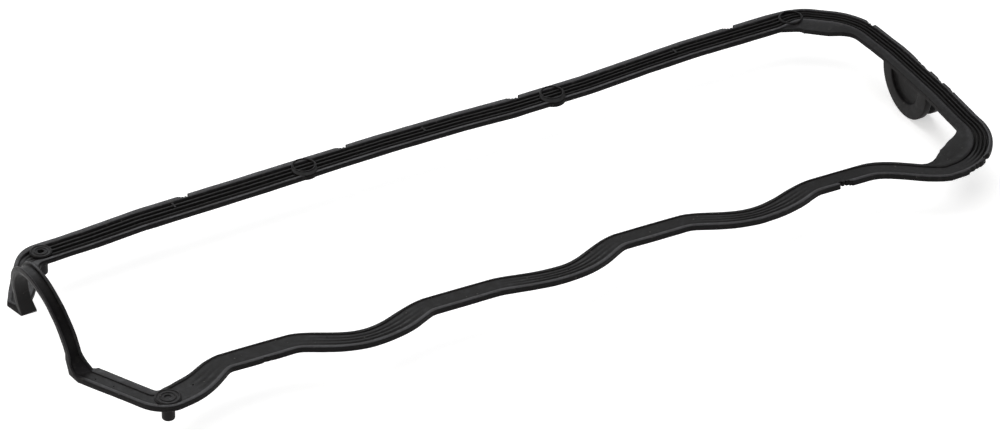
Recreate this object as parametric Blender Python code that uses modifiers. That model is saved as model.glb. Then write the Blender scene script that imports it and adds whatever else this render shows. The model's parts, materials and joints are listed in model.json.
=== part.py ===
"""Valve cover gasket for a five-cylinder engine, one moulding of black rubber.

A ribbed band runs in a closed loop. Its far side is straight, its near side waves round the
five cylinders, and at the left end it climbs over the camshaft as a leaning arch. A half-moon
plug of two lobes hangs under the right end. X runs along the engine, Y across it and Z up.
The origin lies under the middle of the gasket, at the level of the bottom of the plug.
"""
from collections import namedtuple
from math import atan2, cos, pi, radians, sin, tan

import bmesh
import bpy
from mathutils import Matrix, Vector

# Near side: one bulge for each cylinder, with a straight stretch between bulges
CYLINDERS = 5
PITCH = 0.088
FIRST_BULGE_X = -0.1728
BULGE_HALF = 0.0175
SHOULDER = 0.026
CORNER_SHOULDER = 0.034
SHOULDER_STEPS = 7
BULGE_Y = (-0.0491, -0.0488, -0.0473, -0.0488, -0.0603)
STRAIGHT_Y = (-0.0374, -0.0419, -0.0389, -0.0430)
STRAIGHT_SLOPE = 0.036

# Far side and right end: corners of the band's centre line
FAR_X = (-0.150, -0.128, -0.080, -0.045, -0.015, 0.020, 0.042, 0.078, 0.105, 0.128, 0.169)
FAR_Y = (0.0664, 0.0681, 0.0686, 0.0693, 0.0697, 0.0691, 0.0679, 0.0681, 0.0698, 0.0710, 0.0709)
FAR_WIDTHS = (0.0114, 0.0117, 0.0117, 0.0111, 0.0107, 0.0107, 0.0107, 0.0104, 0.0101, 0.0104, 0.0109)
LEFT_CORNER = (-0.1778, 0.0653)
LEFT_CORNER_RADIUS = 0.011
RIGHT_CHAMFER_START = (0.1816, 0.0718)
RIGHT_X = 0.2026
RIGHT_STRAIGHT_Y = (0.0275, -0.0080)
RIGHT_CHAMFER_END_Y = 0.0556
RIGHT_BOW = 0.0021
CHAMFER_RADIUS = 0.014
CHAMFER_END_RADIUS = 0.026
NEAR_RIGHT_RADIUS = 0.0255
NEAR_LEFT_X = -0.1771
NEAR_LEFT_RADIUS = 0.009

# Section of the band
THICKNESS = 0.0024
RIBS = 3
EDGE_CHAMFER = 0.0004
FAR_OUTER_STRIP = 0.0022
FAR_INNER_STRIP = 0.0010
GROOVE_DEPTH = 0.0011
RIB_SHARE = 0.75
EDGE_FLAT = 0.0005
FLAT_DROP = 0.0004
RIGHT_WIDTH = 0.0084
RIGHT_OUTER_STRIP = 0.0022
RIGHT_INNER_STRIP = 0.0008
RIGHT_FLAT = 0.0031
CHAMFER_WIDTH = 0.0086
CHAMFER_FLAT = 0.0078
CORNER_FLAT_START = 0.0036
CORNER_FLAT = 0.0106
CORNER_FLAT_LATE = 0.0088
CORNER_FLAT_END = 0.0131
NEAR_WIDTH = 0.0093
NEAR_WIDENING = 0.0020
LEFT_SWELL_X = -0.166
LEFT_SWELL_HALF = 0.014
LEFT_SWELL = 0.0022
SHOULDER_SWELL = 0.0004
NEAR_OUTER_STRIP = 0.0022
NEAR_INNER_STRIP = 0.0012
BULGE_INNER_STRIP = 0.0022
NEAR_GROOVE_DEPTH = 0.0005
NEAR_RIB_SHARE = 0.5
DIAGONAL_WIDTH = 0.0101

# Arch over the camshaft
ARCH_X = -0.1953
ARCH_Y = 0.0098
ARCH_RADIUS = 0.0210
ARCH_STRETCH = 1.08
ARCH_LEG = 0.0080
ARCH_LEAN = radians(12.0)
ARCH_WIDTH = 0.0051
ARCH_THICKNESS = 0.0035
ARCH_RIDGE = 0.0010
ARCH_GROOVE_DEPTH = 0.0010
FOOT_FACET = 0.0025
FOOT_APPROACH = 0.0010
FAR_FOOT_SPREAD = 0.0012
ARCH_STEPS = 14

# Ring bosses and pegs
CORNER_BOSS_X = -0.1738
FAR_CORNER_BOSS_Y = 0.0652
SIDE_BOSS_X = (-0.0518, 0.0622, 0.1772)
SIDE_BOSS_Y = (0.0690, 0.0674, 0.0695)
BOSS_RADIUS = 0.0057
CORNER_BOSS_RADIUS = 0.0052
BEAD_RADIUS = 0.0045
CORNER_BEAD_RADIUS = 0.0041
BEAD_HALF_WIDTH = 0.0003
BEAD_HEIGHT = 0.0003
BOSS_RISE = 0.0001
BOSS_RECESS = 0.0002
INNER_BEAD_RADIUS = 0.0024
CENTRE_HOLE_RADIUS = 0.0010
CENTRE_HOLE_DEPTH = 0.0012
PEG_RADIUS = 0.00265
PEG_LENGTH = 0.0078
PEG_CHAMFER = 0.0004
BOSS_STEPS = 24

# Half-moon plug under the right end
PLUG_FRONT_X = 0.1957
PLUG_Y = ARCH_Y
PLUG_DROP = 0.0031
PLUG_RADIUS = 0.01685
PLUG_CORE_RADIUS = 0.0126
BACK_LOBE_RADIUS = 0.0162
FRONT_LOBE_WIDTH = 0.0042
BACK_LOBE_WIDTH = 0.0034
LOBE_GAP = 0.0036
LOBE_CHAMFER = 0.0005
POCKET_RADIUS = 0.0103
POCKET_DEPTH = 0.0031
PLUG_STEPS = 36

# Torn notches in the edges: a place beside the nearest edge, with the length along it and the depth
NOTCHES = (
    (-0.1047, 0.0760, 0.0048, 0.0016),
    (-0.0325, 0.0760, 0.0050, 0.0016),
    (0.0464, 0.0760, 0.0054, 0.0016),
    (0.1505, 0.0780, 0.0052, 0.0016),
    (0.2060, 0.0510, 0.0050, 0.0014),
    (0.2090, 0.0200, 0.0190, 0.0009),
    (0.1940, -0.0590, 0.0040, 0.0014),
    (0.1405, -0.0480, 0.0060, 0.0010),
    (-0.1255, -0.0440, 0.0065, 0.0010),
    (-0.0430, -0.0350, 0.0050, 0.0006),
)
NOTCH_TEARS = ((-0.5, 0.7), (-0.3, 1.0), (-0.05, 0.75), (0.2, 1.0), (0.5, 0.8))

RUBBER_COLOUR = (0.018, 0.018, 0.020, 1.0)
RUBBER_ROUGHNESS = 0.45

Shape = namedtuple("Shape", "width flat outer inner depth share thick")
Station = namedtuple("Station", "point side up shape")

FAR = Shape(FAR_WIDTHS[0], EDGE_FLAT, FAR_OUTER_STRIP, FAR_INNER_STRIP, GROOVE_DEPTH, RIB_SHARE, THICKNESS)
RIGHT = Shape(RIGHT_WIDTH, RIGHT_FLAT, RIGHT_OUTER_STRIP, RIGHT_INNER_STRIP, GROOVE_DEPTH, RIB_SHARE,
              THICKNESS)
CHAMFER = RIGHT._replace(width=CHAMFER_WIDTH, flat=CHAMFER_FLAT)
STRAIGHT = Shape(NEAR_WIDTH, EDGE_FLAT, NEAR_OUTER_STRIP, NEAR_INNER_STRIP, NEAR_GROOVE_DEPTH, 1.0,
                 THICKNESS)
BULGE = STRAIGHT._replace(inner=BULGE_INNER_STRIP, share=NEAR_RIB_SHARE)
DIAGONAL = STRAIGHT._replace(width=DIAGONAL_WIDTH, inner=BULGE_INNER_STRIP, share=0.0)
ARCH = Shape(ARCH_WIDTH, EDGE_FLAT, ARCH_RIDGE, ARCH_RIDGE, ARCH_GROOVE_DEPTH, 0.0, ARCH_THICKNESS)


def blend(first, second, share):
    """The shape that lies the given share of the way from the first to the second."""
    return Shape(*[a + (b - a) * share for a, b in zip(first, second)])


def smooth_step(value):
    """Rise from 0 to 1 along half a cosine wave."""
    value = min(max(value, 0.0), 1.0)
    return (1 - cos(pi * value)) / 2


def rounded_corner(before, corner, after, radius, steps):
    """Points along an arc that rounds off a corner of the centre line."""
    before, corner, after = Vector(before), Vector(corner), Vector(after)
    back = (before - corner).normalized()
    ahead = (after - corner).normalized()
    half_angle = back.angle(ahead) / 2
    reach = radius / tan(half_angle)
    centre = corner + (back + ahead).normalized() * (reach ** 2 + radius ** 2) ** 0.5
    start = corner + back * reach - centre
    sweep = start.angle_signed(corner + ahead * reach - centre)
    return [centre + Matrix.Rotation(-sweep * i / steps, 2) @ start for i in range(steps + 1)]


def near_steps():
    """Place and length of each step between a bulge and a straight, from right to left."""
    steps = []
    for k in reversed(range(CYLINDERS)):
        middle = FIRST_BULGE_X + PITCH * k
        if k < CYLINDERS - 1:
            steps.append((middle + BULGE_HALF, SHOULDER, STRAIGHT_Y[k], BULGE_Y[k]))
        if k > 0:
            length = CORNER_SHOULDER if k == CYLINDERS - 1 else SHOULDER
            steps.append((middle - BULGE_HALF, length, BULGE_Y[k], STRAIGHT_Y[k - 1]))
    return steps


def near_point(x):
    """Centre line of the near side at one place along it, with its shape there."""
    width = NEAR_WIDTH + NEAR_WIDENING * max(x / FIRST_BULGE_X, 0)
    y = BULGE_Y[-1]
    swell = 1.0
    for place, length, y_before, y_after in near_steps():
        share = smooth_step((place - x) / length + 0.5)
        y += (y_after - y_before) * share
        if y_after < y_before:
            swell += share
            width += 4 * SHOULDER_SWELL * share * (1 - share)
        else:
            swell -= share
    from_middle = (x - FIRST_BULGE_X) % PITCH - PITCH / 2
    y -= STRAIGHT_SLOPE * from_middle * (1 - swell)
    left_swell = LEFT_SWELL * smooth_step(1 - abs(x - LEFT_SWELL_X) / LEFT_SWELL_HALF)
    width += left_swell
    y += left_swell / 2
    from_corner = (RIGHT_X - NEAR_RIGHT_RADIUS - x) / CORNER_FLAT_END
    flat = CORNER_FLAT_LATE + (EDGE_FLAT - CORNER_FLAT_LATE) * smooth_step(from_corner)
    shape = blend(STRAIGHT, BULGE, swell)._replace(width=width, flat=flat)
    return Vector((x, y)), shape


def near_side():
    """The wavy near side from the right-hand corner to the left-hand corner boss."""
    places = []
    for place, length, _, _ in near_steps():
        if places:
            places.append((places[-1] + place + length / 2) / 2)
        places += [place + length * (0.5 - i / SHOULDER_STEPS) for i in range(SHOULDER_STEPS + 1)]
    return [near_point(x) for x in places[1:]]


def flat_line():
    """Centre line of the flat part of the loop, from the far foot of the arch round to the near one."""
    foot_y = ARCH_RADIUS + ARCH_THICKNESS + FOOT_FACET + FOOT_APPROACH
    foot_x = ARCH_X + (DIAGONAL_WIDTH - ARCH_WIDTH) / 2
    far_foot = (foot_x - FAR_FOOT_SPREAD, ARCH_Y + foot_y)
    near_foot = (foot_x, ARCH_Y - foot_y)
    far_side = [Vector(place) for place in zip(FAR_X, FAR_Y)]
    chamfer_end = (RIGHT_X - RIGHT_BOW, RIGHT_CHAMFER_END_Y)
    right_far, right_near = [(RIGHT_X, y) for y in RIGHT_STRAIGHT_Y]
    near_right = (RIGHT_X - RIGHT_BOW, BULGE_Y[-1])
    near_left = (NEAR_LEFT_X, BULGE_Y[0])

    line = [(Vector(far_foot), DIAGONAL)]
    for point in rounded_corner(far_foot, LEFT_CORNER, far_side[0], LEFT_CORNER_RADIUS, 6):
        line.append((point, blend(DIAGONAL, FAR, 0.8)))
    for point, width in zip(far_side, FAR_WIDTHS):
        line.append((point, FAR._replace(width=width)))
    last = line[-1][1]
    corner = rounded_corner(far_side[-1], RIGHT_CHAMFER_START, chamfer_end, CHAMFER_RADIUS, 5)
    for i, point in enumerate(corner):
        line.append((point, blend(last, CHAMFER, min((i + 3) / 5, 1))))
    corner = rounded_corner(RIGHT_CHAMFER_START, chamfer_end, right_far, CHAMFER_END_RADIUS, 5)
    for i, point in enumerate(corner):
        line.append((point, blend(CHAMFER, RIGHT, smooth_step(i / 5))))
    line += [(Vector(right_far), RIGHT), (Vector(right_near), RIGHT)]

    near = near_side()
    corner = rounded_corner(right_near, near_right, near[0][0], NEAR_RIGHT_RADIUS, 9)[:-1]
    line.append((corner[0] + Vector((0, 2 * RIGHT_FLAT)), RIGHT))
    for i, point in enumerate(corner):
        share = i / (len(corner) - 1)
        flat = CORNER_FLAT_START + (CORNER_FLAT - CORNER_FLAT_START) * sin(pi * min(share, 0.5))
        flat += (CORNER_FLAT_LATE - CORNER_FLAT) * smooth_step((share - 0.6) / 0.4)
        line.append((point, blend(RIGHT, BULGE, share / 2)._replace(flat=flat)))
    line += near
    for point in rounded_corner(near[-1][0], near_left, near_foot, NEAR_LEFT_RADIUS, 6):
        line.append((point, blend(BULGE, DIAGONAL, 0.5)))
    line.append((Vector(near_foot), DIAGONAL))
    return line


def flat_stations():
    """Stations of the flat part, each across the bisector of its two neighbouring stretches."""
    line = flat_line()
    stations = []
    for i, (point, shape) in enumerate(line):
        into = (point - line[i - 1][0]).normalized() if i else Vector((0, 1))
        out = (line[i + 1][0] - point).normalized() if i + 1 < len(line) else Vector((0, 1))
        heading = (into + out).normalized()
        stretch = 1 / max(heading.dot(out), 0.5)
        side = Vector((heading.y, -heading.x, 0)) * stretch
        stations.append(Station(point.to_3d(), side, Vector((0, 0, 1)), shape))
    return stations


def lean(y, height):
    """A vector in the arch's plane, given across the engine and up the leaning arch."""
    return Vector((-height * sin(ARCH_LEAN), y, height * cos(ARCH_LEAN)))


def foot_stations(across):
    """The two stations where the flat band turns up into the arch, across = -1 near and 1 far."""
    outer = ARCH_RADIUS + ARCH_THICKNESS
    base = Vector((ARCH_X, ARCH_Y + across * outer, 0))
    low_bottom = Vector((0, -across * (ARCH_THICKNESS - FOOT_FACET / 2), -THICKNESS))
    high_bottom = lean(-across * ARCH_THICKNESS, -THICKNESS + FOOT_FACET / 2)
    low = Vector((0, across * FOOT_FACET, 0))
    high = lean(0, FOOT_FACET)
    shape = ARCH._replace(depth=NEAR_GROOVE_DEPTH)
    flat_side = Vector((1, 0, 0))
    leaning_side = Vector((cos(ARCH_LEAN), 0, sin(ARCH_LEAN)))
    return [Station(base + low, flat_side, (low - low_bottom) / shape.thick, shape),
            Station(base + high, (flat_side + leaning_side) / 2, (high - high_bottom) / shape.thick, shape)]


def arch_stations():
    """Stations up the near leg, over the crest and down the far leg."""
    base = Vector((ARCH_X, ARCH_Y, 0))
    side = Vector((cos(ARCH_LEAN), 0, sin(ARCH_LEAN)))
    half_width = ARCH_RADIUS + ARCH_THICKNESS
    rise = ARCH_RADIUS * ARCH_STRETCH + ARCH_THICKNESS
    stations = [Station(base + lean(-half_width, 2 * FOOT_FACET), side, lean(-1, 0), ARCH)]
    for i in range(ARCH_STEPS + 1):
        angle = pi * i / ARCH_STEPS
        point = lean(-half_width * cos(angle), ARCH_LEG + rise * sin(angle))
        normal = lean(-rise * cos(angle), half_width * sin(angle)).normalized()
        stations.append(Station(base + point, side, normal, ARCH))
    stations.append(Station(base + lean(half_width, 2 * FOOT_FACET), side, lean(1, 0), ARCH))
    return stations


def section(shape):
    """Outline of the band, as distances across it and above its top, from the outer bottom round."""
    half = shape.width / 2
    outer = shape.outer - half
    inner = half - shape.inner
    cell = (inner - outer) / (4 * RIBS + 3)
    rib_top = shape.depth * (shape.share - 1)
    outline = [(-half, -shape.thick), (-half, -EDGE_CHAMFER), (EDGE_CHAMFER - half, 0), (outer, 0)]
    for k in range(RIBS):
        start = outer + cell * 4 * k
        outline += [(start + cell, -shape.depth), (start + 2 * cell, -shape.depth)]
        outline += [(start + 3 * cell, rib_top), (start + 4 * cell, rib_top)]
    outline += [(inner - 2 * cell, -shape.depth), (inner - cell, -shape.depth), (inner, 0), (half, 0)]
    outline += [(half + shape.flat / 4, -FLAT_DROP), (half + shape.flat, -FLAT_DROP)]
    outline += [(half + shape.flat, -shape.thick)]
    return outline


def loft_band(name):
    """The closed band, lofted through all its stations."""
    stations = flat_stations() + foot_stations(-1) + arch_stations() + foot_stations(1)[::-1]
    mesh = bmesh.new()
    loops = []
    for station in stations:
        loops.append([mesh.verts.new(station.point + station.side * across + station.up * above)
                      for across, above in section(station.shape)])
    for here, ahead in zip(loops, loops[1:] + loops[:1]):
        for j in range(len(here)):
            k = (j + 1) % len(here)
            mesh.faces.new((here[j], here[k], ahead[k], ahead[j]))
    bmesh.ops.recalc_face_normals(mesh, faces=mesh.faces)
    return add_object(name, mesh)


def add_object(name, source):
    """Put a bmesh into the scene as an object."""
    data = bpy.data.meshes.new(name)
    source.to_mesh(data)
    source.free()
    thing = bpy.data.objects.new(name, data)
    bpy.context.scene.collection.objects.link(thing)
    return thing


def turned(name, profile, steps, location, rotation=(0, 0, 0)):
    """A profile of (radius, height) points turned round its own Z axis."""
    source = bmesh.new()
    points = [source.verts.new((radius, 0, height)) for radius, height in profile]
    for first, second in zip(points, points[1:]):
        source.edges.new((first, second))
    if profile[0][0] > 0:
        source.edges.new((points[-1], points[0]))
    thing = add_object(name, source)
    thing.location = location
    thing.rotation_euler = rotation
    screw = thing.modifiers.new("Turn", "SCREW")
    screw.steps = screw.render_steps = steps
    screw.use_merge_vertices = True
    screw.merge_threshold = 0.00001
    return thing


def bead(radius, height):
    """Profile of a raised ring, from its inner side to its outer side."""
    return [(radius - 2 * BEAD_HALF_WIDTH, height), (radius - BEAD_HALF_WIDTH, height + BEAD_HEIGHT),
            (radius + BEAD_HALF_WIDTH, height + BEAD_HEIGHT), (radius + 2 * BEAD_HALF_WIDTH, height)]


def side_boss(name, place):
    """A ring boss that the ribs run through, with a raised bead."""
    hole = BEAD_RADIUS - 2 * BEAD_HALF_WIDTH
    low = BOSS_RECESS - THICKNESS
    profile = bead(BEAD_RADIUS, BOSS_RISE)
    profile += [(BOSS_RADIUS, BOSS_RISE), (BOSS_RADIUS, low), (hole, low)]
    return turned(name, profile, BOSS_STEPS, (place[0], place[1], 0))


def corner_boss(name, place):
    """A solid boss with two raised rings, a blind centre hole and a peg below."""
    bottom = -THICKNESS - PEG_LENGTH
    low = BOSS_RECESS - THICKNESS
    profile = [(0, -CENTRE_HOLE_DEPTH), (CENTRE_HOLE_RADIUS, -CENTRE_HOLE_DEPTH), (CENTRE_HOLE_RADIUS, 0)]
    profile += bead(INNER_BEAD_RADIUS, 0) + bead(CORNER_BEAD_RADIUS, BOSS_RISE)
    profile += [(CORNER_BOSS_RADIUS, BOSS_RISE), (CORNER_BOSS_RADIUS, low), (PEG_RADIUS, low)]
    profile += [(PEG_RADIUS, bottom + PEG_CHAMFER), (PEG_RADIUS - PEG_CHAMFER, bottom), (0, bottom)]
    return turned(name, profile, BOSS_STEPS, (place[0], place[1], 0))


def plug(name):
    """The two lobes and the core between them, turned round the camshaft's line."""
    front = 0.0
    gap = front + FRONT_LOBE_WIDTH
    second = gap + LOBE_GAP
    back = second + BACK_LOBE_WIDTH
    profile = [(0, back)]
    for radius, far_face, near_face in ((BACK_LOBE_RADIUS, back, second), (PLUG_RADIUS, gap, front)):
        profile += [(radius - LOBE_CHAMFER, far_face), (radius, far_face - LOBE_CHAMFER)]
        profile += [(radius, near_face + LOBE_CHAMFER), (radius - LOBE_CHAMFER, near_face)]
        if far_face == back:
            profile += [(PLUG_CORE_RADIUS, second), (PLUG_CORE_RADIUS, gap)]
    profile += [(0, front)]
    return turned(name, profile, PLUG_STEPS, (PLUG_FRONT_X, PLUG_Y, -PLUG_DROP), (0, pi / 2, 0))


def box(name, low, high):
    """A box between two corners."""
    source = bmesh.new()
    bmesh.ops.create_cube(source, size=1)
    middle = (Vector(low) + Vector(high)) / 2
    size = Vector(high) - Vector(low)
    bmesh.ops.transform(source, matrix=Matrix.Translation(middle) @ Matrix.Diagonal(size.to_4d()),
                        verts=source.verts)
    return add_object(name, source)


def pocket(name):
    """Cutter for the round pocket in the plug's front face."""
    source = bmesh.new()
    bmesh.ops.create_cone(source, cap_ends=True, segments=PLUG_STEPS, radius1=POCKET_RADIUS,
                          radius2=POCKET_RADIUS, depth=2 * POCKET_DEPTH)
    cutter = add_object(name, source)
    cutter.location = (PLUG_FRONT_X, PLUG_Y, -PLUG_DROP)
    cutter.rotation_euler = (0, pi / 2, 0)
    return cutter


def edges():
    """The outer and the inner edge of the flat part of the band, as rows of points in plan."""
    outer = []
    inner = []
    for station in flat_stations():
        half = station.shape.width / 2
        outer.append((station.point - station.side * half).to_2d())
        inner.append((station.point + station.side * (half + station.shape.flat)).to_2d())
    return outer, inner[::-1]


def nearest_on_edges(place):
    """The point of an edge nearest to a place, with the edge's direction there."""
    best = None
    for row in edges():
        for start, end in zip(row, row[1:]):
            run = end - start
            along = min(max((place - start).dot(run) / run.length_squared, 0), 1)
            point = start + run * along
            if best is None or (point - place).length < (best[0] - place).length:
                best = (point, run.normalized())
    return best


def notch(name, x, y, length, depth):
    """Cutter for one torn notch, with a ragged bottom."""
    point, run = nearest_on_edges(Vector((x, y)))
    outline = [(0.5 * length, 2 * depth), (-0.5 * length, 2 * depth)]
    outline += [(along * length, -into * depth) for along, into in NOTCH_TEARS]
    source = bmesh.new()
    face = source.faces.new([source.verts.new((a, b, -2 * THICKNESS)) for a, b in outline])
    top = bmesh.ops.extrude_face_region(source, geom=[face])["geom"]
    bmesh.ops.translate(source, vec=(0, 0, 3 * THICKNESS),
                        verts=[item for item in top if isinstance(item, bmesh.types.BMVert)])
    bmesh.ops.recalc_face_normals(source, faces=source.faces)
    cutter = add_object(name, source)
    cutter.location = point.to_3d()
    cutter.rotation_euler = (0, 0, atan2(run.y, run.x))
    return cutter


def combine(body, tool, operation):
    """Join or cut the body with a tool by an exact Boolean modifier."""
    modifier = body.modifiers.new(tool.name, "BOOLEAN")
    modifier.operation = operation
    modifier.solver = "EXACT"
    modifier.object = tool


def evaluated_mesh(thing):
    """Mesh of an object with its modifiers applied."""
    bpy.context.view_layer.update()
    return bpy.data.meshes.new_from_object(thing.evaluated_get(bpy.context.evaluated_depsgraph_get()))


def rubber():
    """Satin black rubber."""
    material = bpy.data.materials.new("black_rubber")
    material.use_nodes = True
    shader = material.node_tree.nodes["Principled BSDF"]
    shader.inputs["Base Color"].default_value = RUBBER_COLOUR
    shader.inputs["Roughness"].default_value = RUBBER_ROUGHNESS
    shader.inputs["Metallic"].default_value = 0.0
    return material


def move_to(collection, things):
    """Keep objects in one collection only."""
    for thing in things:
        for other in thing.users_collection:
            other.objects.unlink(thing)
        collection.objects.link(thing)


def build():
    """Model the gasket and set its origin under its middle."""
    for old in list(bpy.data.objects):
        bpy.data.objects.remove(old, do_unlink=True)

    band = loft_band("band")
    half_moon = plug("plug_disc")
    round_pocket = pocket("pocket")
    reach = 2 * PLUG_RADIUS
    upper_half = box("plug_upper_half", (PLUG_FRONT_X - reach, PLUG_Y - reach, -THICKNESS / 2),
                     (RIGHT_X + reach, PLUG_Y + reach, reach))
    combine(half_moon, round_pocket, "DIFFERENCE")
    combine(half_moon, upper_half, "DIFFERENCE")
    tools = [side_boss("side_boss_%d" % (i + 1), place)
             for i, place in enumerate(zip(SIDE_BOSS_X, SIDE_BOSS_Y))]
    tools += [corner_boss("near_corner_boss", (CORNER_BOSS_X, BULGE_Y[0])),
              corner_boss("far_corner_boss", (CORNER_BOSS_X, FAR_CORNER_BOSS_Y)), half_moon]
    cutters = [notch("notch_%d" % (i + 1), *values) for i, values in enumerate(NOTCHES)]
    for tool in tools:
        combine(band, tool, "UNION")
    for cutter in cutters:
        combine(band, cutter, "DIFFERENCE")

    mesh = evaluated_mesh(band)
    gasket = bpy.data.objects.new("valve_cover_gasket", mesh)
    finished = band.evaluated_get(bpy.context.evaluated_depsgraph_get())
    corners = [Vector(corner) for corner in finished.bound_box]
    low = Vector([min(corner[axis] for corner in corners) for axis in range(3)])
    high = Vector([max(corner[axis] for corner in corners) for axis in range(3)])
    mesh.transform(Matrix.Translation((-(low.x + high.x) / 2, -(low.y + high.y) / 2, -low.z)))
    mesh.shade_smooth()
    mesh.set_sharp_from_angle(angle=radians(30))
    mesh.materials.clear()
    mesh.materials.append(rubber())

    parts = bpy.data.collections.new("valve_cover_gasket")
    helpers = bpy.data.collections.new("cutters")
    for collection in (parts, helpers):
        bpy.context.scene.collection.children.link(collection)
    parts.objects.link(gasket)
    shapes = [band, round_pocket, upper_half] + tools + cutters
    move_to(helpers, shapes)
    for shape in shapes:
        shape.hide_render = True
        shape.display_type = "WIRE"


build()
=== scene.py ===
"""Looks of the valve cover gasket, laid out as an add-on.

The band is swept by Geometry Nodes from a row of stations and one section. Ring bosses, the
half-moon plug, torn notches and pinholes are then joined to it or cut from it, and the result
takes the place of the plain CAD solid. A pale floor, soft lamps and the camera come last.
"""
import json
from collections import namedtuple
from math import atan2, cos, pi, radians, sin, tan

import bmesh
import bpy
import numpy as np
from bpy.props import FloatProperty, FloatVectorProperty, IntProperty, PointerProperty
from bpy.types import Operator, Panel, PropertyGroup
from mathutils import Matrix, Vector

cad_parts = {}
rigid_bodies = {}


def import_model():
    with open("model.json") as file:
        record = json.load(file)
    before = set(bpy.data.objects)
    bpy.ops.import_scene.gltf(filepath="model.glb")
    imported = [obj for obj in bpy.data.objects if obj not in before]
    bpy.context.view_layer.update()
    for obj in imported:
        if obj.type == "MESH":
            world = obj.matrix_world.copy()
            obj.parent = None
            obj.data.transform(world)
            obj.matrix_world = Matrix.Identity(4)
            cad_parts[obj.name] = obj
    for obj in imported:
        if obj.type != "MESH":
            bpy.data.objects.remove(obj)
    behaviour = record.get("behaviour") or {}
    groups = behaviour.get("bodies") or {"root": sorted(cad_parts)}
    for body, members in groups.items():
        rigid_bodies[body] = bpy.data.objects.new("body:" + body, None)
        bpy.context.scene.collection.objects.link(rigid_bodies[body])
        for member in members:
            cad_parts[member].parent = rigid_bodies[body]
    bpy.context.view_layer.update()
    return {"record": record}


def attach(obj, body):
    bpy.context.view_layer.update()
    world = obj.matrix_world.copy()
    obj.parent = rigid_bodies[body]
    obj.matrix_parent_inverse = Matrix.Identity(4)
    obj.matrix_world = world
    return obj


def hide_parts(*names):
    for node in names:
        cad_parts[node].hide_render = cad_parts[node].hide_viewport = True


bl_info = {
    "name": "Valve cover gasket",
    "version": (1, 0, 0),
    "blender": (4, 5, 0),
    "location": "3D View > Sidebar > Gasket",
    "description": "Moulded rubber gasket with a ribbed band, an arch and a half-moon plug",
    "category": "Object",
}

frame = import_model()
NODE = "valve_cover_gasket"
BODY = "root"

# The cover face's mount lies at this place of the drawing, which fixes the drawing in the frame
COVER_FACE_Y = 0.0735
COVER_FACE = next(mount for mount in frame["record"]["mounts"] if mount["name"] == "cover_face")
DRAWING = Vector(COVER_FACE["pos_m"]) - Vector((0, COVER_FACE_Y, 0))

# Centre line of the near side, from the left bulge to the right one, and its straight stretches
BULGE_Y = (-0.0491, -0.0488, -0.0473, -0.0488, -0.0603)
STRAIGHT_Y = (-0.0374, -0.0419, -0.0389, -0.0430)
NEAR_LEFT_X = -0.1771
# Centre line of the far side, from left to right: place along it, distance and width of the band
FAR_SIDE = (
    (-0.150, 0.0664, 0.0114),
    (-0.128, 0.0681, 0.0117),
    (-0.080, 0.0686, 0.0117),
    (-0.045, 0.0693, 0.0111),
    (-0.015, 0.0697, 0.0107),
    (0.020, 0.0691, 0.0107),
    (0.042, 0.0679, 0.0107),
    (0.078, 0.0681, 0.0104),
    (0.105, 0.0698, 0.0101),
    (0.128, 0.0710, 0.0104),
    (0.169, 0.0709, 0.0109),
)
# Corners of the centre line on the far side and at the right end
LEFT_CORNER = (-0.1778, 0.0653)
RIGHT_CHAMFER_START = (0.1816, 0.0718)
RIGHT_CHAMFER_END_Y = 0.0556
RIGHT_STRAIGHT_Y = (0.0275, -0.0080)
# Middles of the three ring bosses on the far side, and whether a plain boss shows inside of it
SIDE_BOSSES = ((-0.0519, 0.0698, True), (0.0621, 0.0682, True), (0.1772, 0.0700, False))
# Small bars across the ribs of the far side
RIB_BARS = ((-0.1108, 0.0704), (0.0033, 0.0706), (0.1221, 0.0718))
# Torn notches: a place beside the nearest edge, with the length along it and the depth
NOTCHES = (
    (-0.1047, 0.0760, 0.0048, 0.0021),
    (-0.0325, 0.0760, 0.0050, 0.0021),
    (0.0464, 0.0760, 0.0054, 0.0021),
    (0.1505, 0.0780, 0.0052, 0.0021),
    (0.2060, 0.0510, 0.0050, 0.0014),
    (0.2090, 0.0130, 0.0130, 0.0009),
    (0.2090, -0.0010, 0.0050, 0.0010),
    (0.2090, -0.0100, 0.0030, 0.0006),
    (0.1940, -0.0590, 0.0040, 0.0014),
    (0.1870, -0.0640, 0.0095, 0.0012),
    (0.1335, -0.0475, 0.0060, 0.0024),
    (-0.1255, -0.0440, 0.0065, 0.0006),
    (-0.0430, -0.0350, 0.0050, 0.0006),
)

# Pinholes in the floor of the near side
PINHOLES = (
    (-0.1920, -0.0230), (-0.1880, -0.0307), (-0.1830, -0.0388), (-0.1657, -0.0483),
    (-0.1607, -0.0447), (-0.1518, -0.0415), (-0.1431, -0.0364), (-0.1296, -0.0407),
    (-0.1092, -0.0388), (-0.1003, -0.0414), (-0.0844, -0.0482), (-0.0688, -0.0433),
    (-0.0540, -0.0404), (-0.0121, -0.0429), (0.0054, -0.0463), (0.0600, -0.0385),
    (0.0765, -0.0405),
)

# Radius of each rounded corner of the centre line, and the number of steps round it
LEFT_TURN = (0.011, 16)
CHAMFER_TURN = (0.014, 10)
CHAMFER_END_TURN = (0.026, 20)
NEAR_RIGHT_TURN = (0.0255, 18)
NEAR_LEFT_TURN = (0.009, 14)
# Flat face beside the band: on the near side, at the start and at the end of the near right corner,
# and the run along which it then narrows
NEAR_FLAT = 0.0005
CORNER_FLAT_START = 0.0036
CORNER_FLAT_END = 0.0098
CORNER_FLAT_RUN = 0.0131
# How far before the near right corner the right end's own section stops, and from which share of
# the way round the ribs fade out, with the share that this takes
CORNER_LEAD = 0.0062
CORNER_RIB_FADE = (0.35, 0.5)
# Steps of the near side: how much earlier the left one falls and how much later the others rise
LEFT_STEP_EARLY = 0.0003
RISING_STEP_LATE = 0.0015
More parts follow.
